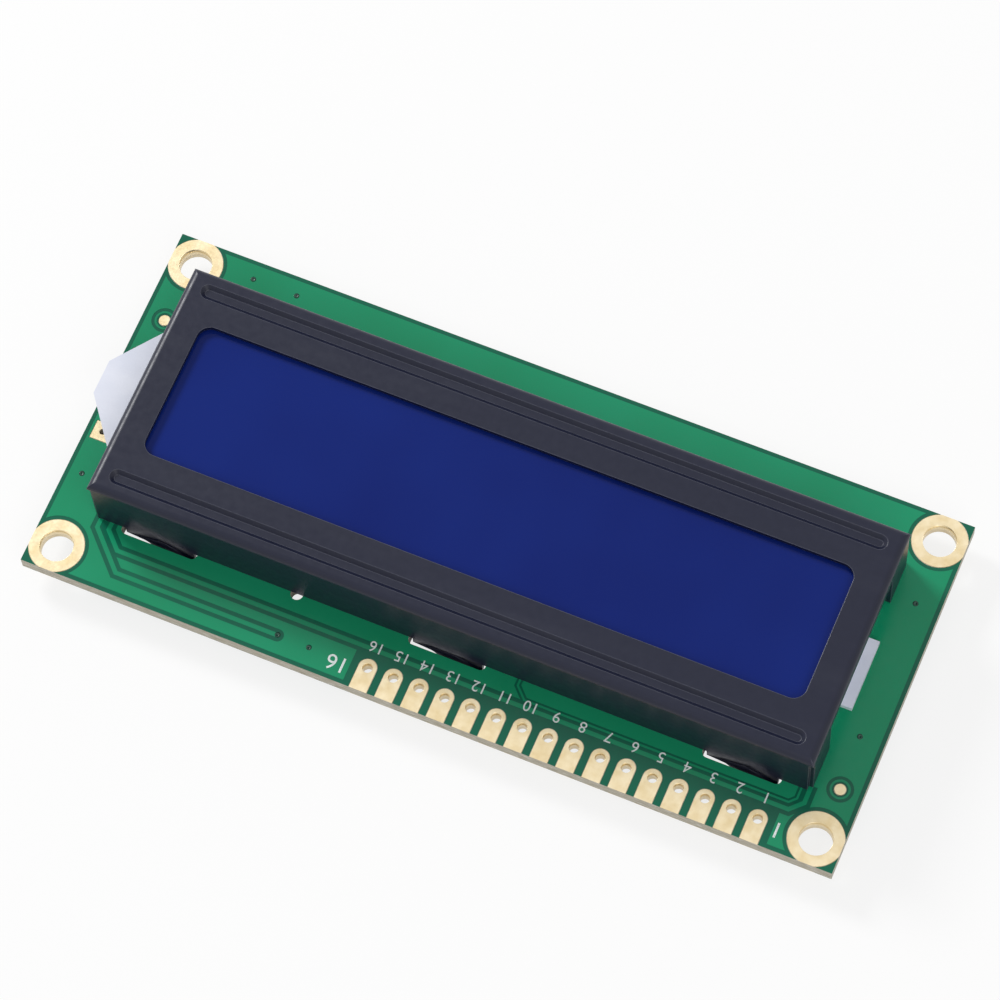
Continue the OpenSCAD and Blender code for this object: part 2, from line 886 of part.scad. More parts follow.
module led_solder() {
    color(solder_grey) difference() {
        for (s = [-1, 1])
            translate([end_x - lead_reach, lamp_y + s * lead_pitch / 2, 0])
                mirror([0, 0, 1]) cylinder(h = lead_solder_h,
                    d1 = lead_solder_d, d2 = lead_solder_d / 2);
        led_leads();
    }
}

// ---- Chips and resin caps ----

// Cap of a ball: base diameter d, height h
module resin_dome(d, h) {
    ball = (d * d / 4 + h * h) / (2 * h);
    mirror([0, 0, 1]) intersection() {
        translate([0, 0, h - ball]) sphere(ball, $fn = 96);
        cylinder(h = h, d = d + 1);
    }
}

// Silicon chip glued to the board
module die(size) {
    translate([-size[0] / 2, -size[1] / 2, -size[2]]) cube(size);
}

module driver_die() {
    color("slategray") translate([-cap_x, 0, 0]) die(driver_die_size);
}

module controller_die() {
    color("slategray") translate([cap_x, 0, 0]) die(controller_die_size);
}

module driver_cap() {
    color(resin_black) translate([-cap_x, 0, 0]) difference() {
        resin_dome(large_cap_d, cap_h);
        die(driver_die_size);
    }
}

module controller_cap() {
    color(resin_black) translate([cap_x, 0, 0]) difference() {
        resin_dome(small_cap_d, cap_h);
        die(controller_die_size);
    }
}

// ---- Chip resistors ----

// Ceramic body of resistor i, between its end caps
module resistor_body(i) {
    color("dimgray") translate(concat(resistor_at[i], -resistor_h))
        translate([-resistor_l / 2 + end_cap_l, -resistor_w / 2, 0])
            cube([resistor_l - 2 * end_cap_l, resistor_w, resistor_h]);
}

// Metal end caps of resistor i
module resistor_ends(i) {
    color(solder_grey) translate(concat(resistor_at[i], -resistor_h))
        for (s = [-1, 1])
            translate([s * (resistor_l - end_cap_l) / 2 - end_cap_l / 2,
                -resistor_w / 2, 0])
                cube([end_cap_l, resistor_w, resistor_h]);
}

// Solder between each end cap and its pad
module resistor_solder() {
    color(solder_grey) for (p = resistor_at, s = [-1, 1])
        translate([p[0], p[1] + pad_w / 2 - 0.1, 0])
            rotate([90, 0, 0]) linear_extrude(pad_w - 0.2) polygon([
                [s * resistor_l / 2, 0],
                [s * (pad_span + pad_l) / 2 - s * 0.1, 0],
                [s * resistor_l / 2, -resistor_h * 0.8]]);
}

module resistor_1_body() { resistor_body(0); }
module resistor_2_body() { resistor_body(1); }
module resistor_3_body() { resistor_body(2); }
module resistor_4_body() { resistor_body(3); }
module resistor_5_body() { resistor_body(4); }
module resistor_6_body() { resistor_body(5); }
module resistor_7_body() { resistor_body(6); }
module resistor_8_body() { resistor_body(7); }
module resistor_1_ends() { resistor_ends(0); }
module resistor_2_ends() { resistor_ends(1); }
module resistor_3_ends() { resistor_ends(2); }
module resistor_4_ends() { resistor_ends(3); }
module resistor_5_ends() { resistor_ends(4); }
module resistor_6_ends() { resistor_ends(5); }
module resistor_7_ends() { resistor_ends(6); }
module resistor_8_ends() { resistor_ends(7); }

circuit_board();
front_solder_mask();
back_solder_mask();
header_pads();
mounting_hole_lands();
fiducial_marks();
backlight_pads();
backlight_pin_lands();
zebra_contacts();
component_pads();
jumper_pads();
back_legend();
bezel();
front_polariser();
front_glass();
cell_seal();
cell_fill();
fill_port_plug();
rear_glass();
rear_polariser();
backlight_frame();
diffuser_film();
light_guide();
reflector_film();
tail_film();
header_side_zebra();
far_side_zebra();
led_package();
led_leads();
led_solder();
driver_die();
controller_die();
driver_cap();
controller_cap();
resistor_1_body();
resistor_2_body();
resistor_3_body();
resistor_4_body();
resistor_5_body();
resistor_6_body();
resistor_7_body();
resistor_8_body();
resistor_1_ends();
resistor_2_ends();
resistor_3_ends();
resistor_4_ends();
resistor_5_ends();
resistor_6_ends();
resistor_7_ends();
resistor_8_ends();
resistor_solder();
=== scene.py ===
"""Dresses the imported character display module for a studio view.

The CAD nodes keep their shapes and get procedural finishes. The printed pin
numbers, the plating inside the holes and the tented vias are made here.
"""

import json
import logging
import math
from dataclasses import dataclass
from enum import Enum

import bmesh
import bpy
from mathutils import Matrix, Vector


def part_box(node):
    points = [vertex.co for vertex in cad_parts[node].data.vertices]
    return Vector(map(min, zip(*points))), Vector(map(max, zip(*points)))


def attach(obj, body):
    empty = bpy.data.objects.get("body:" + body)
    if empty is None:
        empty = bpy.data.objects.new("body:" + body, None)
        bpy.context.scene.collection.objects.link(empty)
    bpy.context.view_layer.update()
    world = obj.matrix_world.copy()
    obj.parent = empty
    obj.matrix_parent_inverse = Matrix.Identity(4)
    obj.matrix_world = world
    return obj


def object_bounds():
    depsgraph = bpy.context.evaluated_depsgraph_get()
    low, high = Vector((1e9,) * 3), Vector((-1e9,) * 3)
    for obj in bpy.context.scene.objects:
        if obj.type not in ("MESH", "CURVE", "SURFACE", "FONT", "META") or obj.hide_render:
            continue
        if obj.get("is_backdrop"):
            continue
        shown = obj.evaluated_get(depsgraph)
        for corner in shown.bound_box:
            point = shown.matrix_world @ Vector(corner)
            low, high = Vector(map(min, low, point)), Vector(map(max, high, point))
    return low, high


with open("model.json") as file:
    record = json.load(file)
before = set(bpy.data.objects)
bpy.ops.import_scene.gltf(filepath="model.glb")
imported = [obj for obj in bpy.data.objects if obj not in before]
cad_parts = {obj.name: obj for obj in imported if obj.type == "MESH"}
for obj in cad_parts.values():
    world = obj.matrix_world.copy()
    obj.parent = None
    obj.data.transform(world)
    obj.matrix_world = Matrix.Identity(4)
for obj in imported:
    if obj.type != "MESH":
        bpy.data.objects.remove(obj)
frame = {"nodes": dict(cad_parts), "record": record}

LOG = logging.getLogger("display_module")
MM = 0.001
BODY = "root"
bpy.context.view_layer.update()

# Where nearly all values of a noise lie, and where the middle ones lie.
WIDE = (0.3, 0.7)
NARROW = (0.35, 0.65)

# A screen's colour curve: straight up to the knee and a power above it.
CURVE_KNEE = 0.04045
CURVE_SLOPE = 12.92
CURVE_OFFSET = 0.055
CURVE_POWER = 2.4

# How far below a raised face the lacquer still counts as raised.
RAISED = 0.01 * MM


# ---------------------------------------------------------------- materials


def shade(red: int, green: int, blue: int) -> tuple[float, float, float, float]:
    """Turns a display colour of 0 to 255 into the linear one that shaders take.

    Args:
        red: Red as shown on a screen.
        green: Green as shown on a screen.
        blue: Blue as shown on a screen.

    Returns:
        The linear colour with an alpha of 1.
    """
    linear = []
    for part in (red, green, blue):
        value = part / 255
        bent = ((value + CURVE_OFFSET) / (1 + CURVE_OFFSET)) ** CURVE_POWER
        linear.append(value / CURVE_SLOPE if value <= CURVE_KNEE else bent)
    return (*linear, 1.0)


class Shader:
    """A material under construction: its node tree and its Principled node."""

    def __init__(self, name: str) -> None:
        """Starts a material with one Principled shader.

        Args:
            name: The material's name.
        """
        self.material = bpy.data.materials.new(name)
        self.material.use_nodes = True
        self.tree = self.material.node_tree
        self.principled = self.tree.nodes["Principled BSDF"]
        self._place = None

    def node(self, kind: str, **settings: object) -> bpy.types.Node:
        """Adds a node.

        Args:
            kind: The node's type.
            settings: Values for its properties.

        Returns:
            The node.
        """
        made = self.tree.nodes.new(kind)
        for key, value in settings.items():
            setattr(made, key, value)
        return made

    def link(self, source: bpy.types.NodeSocket, target: bpy.types.NodeSocket) -> None:
        """Joins two sockets.

        Args:
            source: The output that the value comes from.
            target: The input that it goes to.
        """
        self.tree.links.new(source, target)

    def constants(self, **values: object) -> None:
        """Sets values on the Principled node.

        Args:
            values: One for each input, with _ for a space, as in Coat_Weight.
        """
        for key, value in values.items():
            self.principled.inputs[key.replace("_", " ")].default_value = value

    def place(self) -> bpy.types.NodeSocket:
        """Finds the point being shaded.

        Returns:
            The point, in the object's own metres.
        """
        if self._place is None:
            self._place = self.node("ShaderNodeTexCoord").outputs["Object"]
        return self._place

    def along(self, axis: str) -> bpy.types.NodeSocket:
        """One coordinate of the point being shaded.

        Args:
            axis: X, Y or Z.

        Returns:
            The coordinate in metres.
        """
        split = self.node("ShaderNodeSeparateXYZ")
        self.link(self.place(), split.inputs[0])
        return split.outputs[axis]

    def noise(
        self, per_mm: float, detail: float = 3.0, stretch: tuple[float, float, float] = (1, 1, 1)
    ) -> bpy.types.NodeSocket:
        """Soft noise of a given fineness.

        Args:
            per_mm: How many lumps to a millimetre.
            detail: Octaves of finer noise.
            stretch: Scale of the noise along X, Y and Z.

        Returns:
            A value around 0.5.
        """
        mapping = self.node("ShaderNodeMapping")
        mapping.inputs["Scale"].default_value = stretch
        self.link(self.place(), mapping.inputs["Vector"])
        made = self.node("ShaderNodeTexNoise")
        made.inputs["Scale"].default_value = per_mm / MM
        made.inputs["Detail"].default_value = detail
        self.link(mapping.outputs["Vector"], made.inputs["Vector"])
        return made.outputs["Fac"]

    def remap(
        self, value: bpy.types.NodeSocket, old: tuple[float, float], new: tuple[float, float]
    ) -> bpy.types.NodeSocket:
        """Carries a value from one range to another and clamps it.

        Args:
            value: The value to carry over.
            old: The range that it comes from.
            new: The range that it goes to.

        Returns:
            The new value.
        """
        made = self.node("ShaderNodeMapRange")
        made.inputs["From Min"].default_value, made.inputs["From Max"].default_value = old
        made.inputs["To Min"].default_value, made.inputs["To Max"].default_value = new
        self.link(value, made.inputs["Value"])
        return made.outputs["Result"]

    def maths(
        self, operation: str, first: bpy.types.NodeSocket, second: bpy.types.NodeSocket | float
    ) -> bpy.types.NodeSocket:
        """Combines a value with another value or a number.

        Args:
            operation: The name of the operation, such as MULTIPLY.
            first: The first value.
            second: The second value, or a number.

        Returns:
            The combined value.
        """
        made = self.node("ShaderNodeMath", operation=operation)
        self.link(first, made.inputs[0])
        if isinstance(second, (int, float)):
            made.inputs[1].default_value = second
        else:
            self.link(second, made.inputs[1])
        return made.outputs[0]

    def mix(
        self,
        amount: bpy.types.NodeSocket,
        first: tuple | bpy.types.NodeSocket,
        second: tuple | bpy.types.NodeSocket,
    ) -> bpy.types.NodeSocket:
        """Mixes two colours.

        Args:
            amount: 0 gives the first colour and 1 the second.
            first: A colour, or a socket that gives one.
            second: A colour, or a socket that gives one.

        Returns:
            The mixed colour.
        """
        made = self.node("ShaderNodeMix", data_type="RGBA")
        self.link(amount, made.inputs["Factor"])
        for name, colour in (("A", first), ("B", second)):
            target = next(s for s in made.inputs if s.name == name and s.type == "RGBA")
            if isinstance(colour, tuple):
                target.default_value = colour
            else:
                self.link(colour, target)
        return next(s for s in made.outputs if s.type == "RGBA")

    def bump(self, height: bpy.types.NodeSocket, depth_mm: float, strength: float = 1.0) -> None:
        """Raises the surface by a height map.

        Args:
            height: The height, from 0 to 1.
            depth_mm: What a height of 1 stands for.
            strength: How much of the bump shows.
        """
        made = self.node("ShaderNodeBump")
        made.inputs["Strength"].default_value = strength
        made.inputs["Distance"].default_value = depth_mm * MM
        self.link(height, made.inputs["Height"])
        self.link(made.outputs["Normal"], self.principled.inputs["Normal"])

    def drive(self, name: str, value: bpy.types.NodeSocket) -> None:
        """Feeds one of the Principled node's inputs.

        Args:
            name: The input's name.
            value: The value that it gets.
        """
        self.link(value, self.principled.inputs[name])


@dataclass(frozen=True)
class SolderMask:
    """Green lacquer over copper: lighter where there is copper under it.

    Attributes:
        name: The material's name.
        step_m: Height at which the surface counts as lying over copper.
        front: Whether the raised side looks along +Z.
    """

    name: str
    step_m: float
    front: bool
    over_copper: tuple = shade(20, 146, 104)
    over_laminate: tuple = shade(0, 92, 70)

    def build(self) -> bpy.types.Material:
        """Makes the lacquer, with faint weave and fine specks.

        Returns:
            The finished material.
        """
        s = Shader(self.name)
        width = 0.004 * MM
        near = (self.step_m - width, self.step_m + width)
        raised = s.remap(s.along("Z"), near, (0, 1) if self.front else (1, 0))
        cloud = s.remap(s.noise(0.08, 2), WIDE, (0, 1))
        light = s.mix(cloud, self.over_copper, shade(14, 138, 94))
        dark = s.mix(cloud, self.over_laminate, shade(0, 99, 74))
        weave = s.remap(s.noise(3.0, 1, (1, 0.15, 1)), NARROW, (0, 1))
        dark_woven = s.mix(s.maths("MULTIPLY", weave, 0.25), dark, shade(0, 104, 74))
        s.drive("Base Color", s.mix(raised, dark_woven, light))
        s.drive("Roughness", s.remap(s.noise(1.2, 3), WIDE, (0.16, 0.26)))
        s.bump(s.noise(2.2, 3), 0.004, 0.5)
        s.constants(Specular_IOR_Level=0.28)
        return s.material


@dataclass(frozen=True)
class Laminate:
    """Sawn edge of the glass-fibre board: pale layers with short fibres."""

    name: str = "laminate"
    resin: tuple = shade(168, 160, 140)
    fibre: tuple = shade(206, 201, 190)

    def build(self) -> bpy.types.Material:
        """Makes the layered edge.

        Returns:
            The finished material.
        """
        s = Shader(self.name)
        layers = s.noise(9.0, 2, (0.08, 0.08, 1))
        flecks = s.noise(4.0, 4, (0.5, 0.5, 1.6))
        both = s.maths("MULTIPLY", s.remap(layers, NARROW, (0, 1)), flecks)
        s.drive("Base Color", s.mix(s.remap(both, (0.1, 0.5), (0, 1)), self.resin, self.fibre))
        s.bump(flecks, 0.03, 0.7)
        s.constants(Roughness=0.75)
        return s.material


@dataclass(frozen=True)
class Plating:
    """Thin gold over nickel, nearly white where the light falls on it."""

    name: str = "gold_plating"
    clean: tuple = shade(240, 224, 188)
    worn: tuple = shade(226, 205, 160)

    def build(self) -> bpy.types.Material:
        """Makes the plating, with a faint grain and soft stains.

        Returns:
            The finished material.
        """
        s = Shader(self.name)
        stain = s.remap(s.noise(0.9, 4), (0.35, 0.7), (0, 1))
        s.drive("Base Color", s.mix(stain, self.clean, self.worn))
        s.drive("Roughness", s.remap(s.noise(6.0, 3), WIDE, (0.28, 0.44)))
        s.bump(s.noise(9.0, 2), 0.003, 0.6)
        s.constants(Metallic=0.85)
        return s.material


@dataclass(frozen=True)
class Tin:
    """Solder: bright, wavy and slightly frosted metal."""

    name: str = "solder"
    bright: tuple = shade(200, 202, 206)
    dull: tuple = shade(150, 152, 158)

    def build(self) -> bpy.types.Material:
        """Makes the solder.

        Returns:
            The finished material.
        """
        s = Shader(self.name)
        frost = s.remap(s.noise(5.0, 4), NARROW, (0, 1))
        s.drive("Base Color", s.mix(frost, self.bright, self.dull))
        s.drive("Roughness", s.remap(frost, (0, 1), (0.22, 0.4)))
        s.bump(s.noise(4.0, 3), 0.02, 0.6)
        s.constants(Metallic=1.0)
        return s.material


@dataclass(frozen=True)
class Ink:
    """White screen-printed ink, thin enough to show a little of the board."""

    name: str = "legend_ink"

    def build(self) -> bpy.types.Material:
        """Makes the ink.

        Returns:
            The finished material.
        """
        s = Shader(self.name)
        thin = s.remap(s.noise(7.0, 4), (0.4, 0.75), (0, 1))
        s.drive("Base Color", s.mix(thin, shade(240, 243, 243), shade(190, 214, 206)))
        s.bump(s.noise(12.0, 3), 0.006, 0.6)
        s.constants(Roughness=0.55)
        return s.material


@dataclass(frozen=True)
class BlackPaint:
    """Satin black paint on folded steel, with a cool sheen, rounded edges and painted edge
    highlights.

    Attributes:
        name: The material's name.
        base: The paint's colour.
        rubbed: Its colour where it is rubbed.
        edge: The colour of the painted highlight along the edges.
        edge_radius: Radius that the edges are shaded with.
        edge_turn: Cosine of the shading's turn where the painted highlight starts,
        and where it is full.
        peel_depth: Depth of the orange peel.
    """

    name: str = "bezel_paint"
    base: tuple = shade(19, 23, 44)
    rubbed: tuple = shade(32, 35, 52)
    edge: tuple = shade(96, 98, 112)
    edge_radius: float = 0.12 * MM
    edge_turn: tuple = (0.985, 0.93)
    peel_depth: float = 0.006 * MM

    def build(self) -> bpy.types.Material:
        """Makes the paint, with fine orange peel and faint rubbed streaks.

        Returns:
            The finished material.
        """
        s = Shader(self.name)
        streak = s.remap(s.noise(0.5, 5, (0.12, 1, 1)), (0.5, 0.75), (0, 0.6))
        s.drive("Roughness", s.remap(s.noise(1.5, 4), WIDE, (0.3, 0.42)))
        edge = s.node("ShaderNodeBevel", samples=6)
        edge.inputs["Radius"].default_value = self.edge_radius
        flat = s.node("ShaderNodeNewGeometry")
        facing = s.node("ShaderNodeVectorMath", operation="DOT_PRODUCT")
        s.link(edge.outputs["Normal"], facing.inputs[0])
        s.link(flat.outputs["True Normal"], facing.inputs[1])
        # Painted highlight: the colour goes lighter along sharp edges, where the bevel's normal
        # turns from the true normal.
        worn = s.remap(facing.outputs["Value"], self.edge_turn, (0, 0.8))
        painted = s.mix(streak, self.base, self.rubbed)
        s.drive("Base Color", s.mix(worn, painted, self.edge))
        peel = s.node("ShaderNodeBump")
        peel.inputs["Strength"].default_value = 0.35
        peel.inputs["Distance"].default_value = self.peel_depth
        s.link(s.noise(6.0, 3), peel.inputs["Height"])
        s.link(edge.outputs["Normal"], peel.inputs["Normal"])
        s.drive("Normal", peel.outputs["Normal"])
        s.constants(Specular_IOR_Level=0.35)
        return s.material


@dataclass(frozen=True)
class DisplayBlue:
    """Deep blue polariser with a faint mottle, as a switched-off display shows."""

    name: str = "blue_film"
    deep: tuple = shade(14, 33, 108)
    pale: tuple = shade(17, 38, 116)

    def build(self) -> bpy.types.Material:
        """Makes the blue film.

        Returns:
            The finished material.
        """
        s = Shader(self.name)
        mottle = s.remap(s.noise(0.06, 2), NARROW, (0, 1))
        s.drive("Base Color", s.mix(mottle, self.deep, self.pale))
        s.drive("Roughness", s.remap(s.noise(2.0, 2), WIDE, (0.12, 0.2)))
        s.bump(s.noise(14.0, 2), 0.001, 0.3)
        s.constants(Specular_IOR_Level=0.1)
        return s.material


@dataclass(frozen=True)
class CellGlass:
    """Clear glass with a faint green tint, the same on its ground edges."""

    name: str = "cell_glass"

    def build(self) -> bpy.types.Material:
        """Makes the glass.

        Returns:
            The finished material.
        """
        s = Shader(self.name)
        s.drive("Roughness", s.remap(s.noise(3.0, 3), WIDE, (0.02, 0.08)))
        s.constants(Base_Color=shade(214, 232, 228), Transmission_Weight=0.9, IOR=1.5)
        return s.material


@dataclass(frozen=True)
class Film:
    """White or grey plastic film with a soft sheen.

    Attributes:
        name: The material's name.
        tone: The film's main colour.
        shadow: The colour of its faint clouds.
        roughness: The lowest roughness of its surface.
    """

    name: str
    tone: tuple
    shadow: tuple
    roughness: float

    def build(self) -> bpy.types.Material:
        """Makes the film, with slight waves.

        Returns:
            The finished material.
        """
        s = Shader(self.name)
        cloud = s.remap(s.noise(0.25, 3), NARROW, (0, 1))
        s.drive("Base Color", s.mix(cloud, self.tone, self.shadow))
        grain = s.noise(5.0, 3)
        s.drive("Roughness", s.remap(grain, WIDE, (self.roughness, self.roughness + 0.12)))
        s.bump(s.noise(0.5, 2), 0.02, 0.4)
        return s.material


@dataclass(frozen=True)
class ClearPlastic:
    """Acrylic of the light guide, greyish and clear, the same on its sawn edges."""

    name: str = "clear_plastic"

    def build(self) -> bpy.types.Material:
        """Makes the acrylic.

        Returns:
            The finished material.
        """
        s = Shader(self.name)
        s.drive("Roughness", s.remap(s.noise(2.5, 3), WIDE, (0.08, 0.22)))
        s.bump(s.noise(3.0, 3), 0.01, 0.3)
        s.constants(Base_Color=shade(224, 230, 234), Transmission_Weight=0.75, IOR=1.49)
        return s.material


@dataclass(frozen=True)
class StripedRubber:
    """Silicone strip: cream sides and a fine core of dark and pale layers.

    Attributes:
        name: The material's name.
        cream: The colour of the sides.
        carbon: The colour of the dark layers.
        pitch: Length of one dark and one pale layer.
        core_edge: Distances from the middle where the core starts to fade, and
            where it ends.
    """

    name: str = "striped_rubber"
    cream: tuple = shade(228, 222, 202)
    carbon: tuple = shade(38, 36, 36)
    pitch: float = 0.4 * MM
    core_edge: tuple = (0.25 * MM, 0.35 * MM)

    def build(self) -> bpy.types.Material:
        """Makes the strip, with its layers across X.

        Returns:
            The finished material.
        """
        s = Shader(self.name)
        turns = s.maths("MULTIPLY", s.along("X"), 2 * math.pi / self.pitch)
        stripes = s.remap(s.maths("SINE", turns, 0), (-0.2, 0.2), (0, 1))
        low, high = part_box("header_side_zebra")
        mid = (low.y + high.y) / 2
        off_mid = s.maths("SUBTRACT", s.maths("ABSOLUTE", s.along("Y"), 0), mid)
        core = s.remap(s.maths("ABSOLUTE", off_mid, 0), self.core_edge, (0.55, 0))
        s.drive("Base Color", s.mix(s.maths("MULTIPLY", core, stripes), self.cream, self.carbon))
        s.bump(s.noise(4.0, 3), 0.01, 0.5)
        s.constants(Roughness=0.6)
        return s.material


@dataclass(frozen=True)
class Resin:
    """Black epoxy poured over a die: glossy, with soft waves and fine pits."""

    name: str = "resin"
    black: tuple = shade(30, 31, 34)

    def build(self) -> bpy.types.Material:
        """Makes the resin.

        Returns:
            The finished material.
        """
        s = Shader(self.name)
        dust = s.remap(s.noise(6.0, 4), (0.6, 0.8), (0, 0.5))
        s.drive("Base Color", s.mix(dust, self.black, shade(58, 58, 60)))
        s.drive("Roughness", s.remap(s.noise(0.6, 3), WIDE, (0.26, 0.42)))
        s.bump(s.noise(1.2, 4), 0.05, 0.5)
        return s.material


@dataclass(frozen=True)
class Ceramic:
    """Hard, smooth body of a small part.

    Attributes:
        name: The material's name.
        tone: The body's colour.
        fleck: The colour of its flecks.
        roughness: The lowest roughness of its surface.
    """

    name: str
    tone: tuple
    fleck: tuple
    roughness: float

    def build(self) -> bpy.types.Material:
        """Makes the body.

        Returns:
            The finished material.
        """
        s = Shader(self.name)
        flecks = s.remap(s.noise(9.0, 4), (0.5, 0.8), (0, 1))
        s.drive("Base Color", s.mix(flecks, self.tone, self.fleck))
        s.drive("Roughness", s.remap(flecks, (0, 1), (self.roughness, self.roughness + 0.2)))
        s.bump(s.noise(12.0, 2), 0.004, 0.5)
        return s.material


class Finish(Enum):
    """The finishes of the module, each built into a material at its first use."""

    LAMINATE = Laminate()
    FRONT_MASK = SolderMask("front_solder_mask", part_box("front_solder_mask")[1].z - RAISED, True)
    BACK_MASK = SolderMask("back_solder_mask", RAISED, False)
    GOLD = Plating()
    TIN = Tin()
    INK = Ink()
    PAINT = BlackPaint()
    BLUE = DisplayBlue()
    GLASS = CellGlass()
    WHITE_FILM = Film("white_film", shade(231, 234, 246), shade(222, 226, 240), 0.3)
    GREY_FILM = Film("grey_film", shade(120, 122, 128), shade(104, 106, 112), 0.25)
    GLUE = Film("cell_glue", shade(128, 124, 116), shade(104, 100, 94), 0.45)
    HOUSING = Film("lamp_housing", shade(236, 233, 220), shade(220, 214, 196), 0.35)
    CLEAR = ClearPlastic()
    RUBBER = StripedRubber()
    TENTED_VIA = Film("tented_via", shade(0, 66, 50), shade(0, 54, 42), 0.2)
    RESIN = Resin()
    SILICON = Ceramic("silicon", shade(92, 96, 106), shade(116, 118, 124), 0.1)
    BLACK_CERAMIC = Ceramic("resistor_ceramic", shade(30, 30, 33), shade(62, 62, 66), 0.25)

    def material(self) -> bpy.types.Material:
        """Gives the finish's material, built at its first use.

        Returns:
            The material.
        """
        if self not in _MADE:
            _MADE[self] = self.value.build()
        return _MADE[self]


_MADE: dict[Finish, bpy.types.Material] = {}


# ------------------------------------------------------------------- pieces


def mount(name: str) -> dict:
    """Looks up one of the record's mounts.

    Args:
        name: The mount's name.

    Returns:
        The record's entry for it.
    """
    return next(m for m in frame["record"]["mounts"] if m["name"] == name)


def dress(node: str, finish: Finish) -> None:
    """Gives a CAD node its finish.

    Args:
        node: The node's name.
        finish: The finish for all its faces.
    """
    mesh = frame["nodes"][node].data
    mesh.materials.clear()
    mesh.materials.append(finish.material())
    LOG.info("dressed %s in %s", node, finish.name)


def add_piece(name: str, mesh: bpy.types.Mesh, finish: Finish) -> bpy.types.Object:
    """Puts a finished mesh on the module.

    Args:
        name: The piece's name.
        mesh: Its mesh, in metres in the module's frame.
        finish: Its finish.

    Returns:
        The new object.
    """
    mesh.materials.clear()
    mesh.materials.append(finish.material())
    piece = bpy.data.objects.new(name, mesh)
    bpy.context.scene.collection.objects.link(piece)
    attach(piece, BODY)
    LOG.info("added %s with %d faces", name, len(mesh.polygons))
    return piece


def mesh_from(build: bmesh.types.BMesh, name: str, smooth: bool = True) -> bpy.types.Mesh:
    """Turns finished mesh code into a mesh.

    Args:
        build: The mesh under construction, which is freed.
        name: The mesh's name.
        smooth: Whether its faces are shaded as one surface.

    Returns:
        The mesh.
    """
    mesh = bpy.data.meshes.new(name)
    bmesh.ops.recalc_face_normals(build, faces=build.faces)
    for face in build.faces:
        face.smooth = smooth
    build.to_mesh(mesh)
    build.free()
    return mesh


def revolve(
    build: bmesh.types.BMesh,
    centre: Vector,
    section: list[tuple[float, float]],
    steps: int,
) -> None:
    """Turns a closed section round a vertical axis.

    Args:
        build: The mesh to add to.
        centre: The axis, with the height that the section's heights are from.
        section: Radius and height of each corner, in metres.
        steps: Number of faces round the axis.
    """
    rings = []
    for step in range(steps):
        angle = 2 * math.pi * step / steps
        across = Vector((math.cos(angle), math.sin(angle), 0))
        rings.append([build.verts.new(centre + across * r + Vector((0, 0, z))) for r, z in section])
    count = len(section)
    for step in range(steps):
        here = rings[step]
        after = rings[(step + 1) % steps]
        for corner in range(count):
            other = (corner + 1) % count
            build.faces.new((here[corner], here[other], after[other], after[corner]))


@dataclass
class PinRow:
    """The row of header holes, from the record's first and last hole.

    Attributes:
        count: Number of holes.
    """

    count: int = 16

    def centres(self) -> list[Vector]:
        """Finds the hole centres on the rear face.

        Returns:
            The centres, first hole first.
        """
        first = Vector(mount("header_hole_first")["pos_m"])
        last = Vector(mount("header_hole_last")["pos_m"])
        return [first.lerp(last, i / (self.count - 1)) for i in range(self.count)]

    def radius(self) -> float:
        """Radius of a header hole in metres."""
        return mount("header_hole_first")["dims"]["r_mm"] * MM


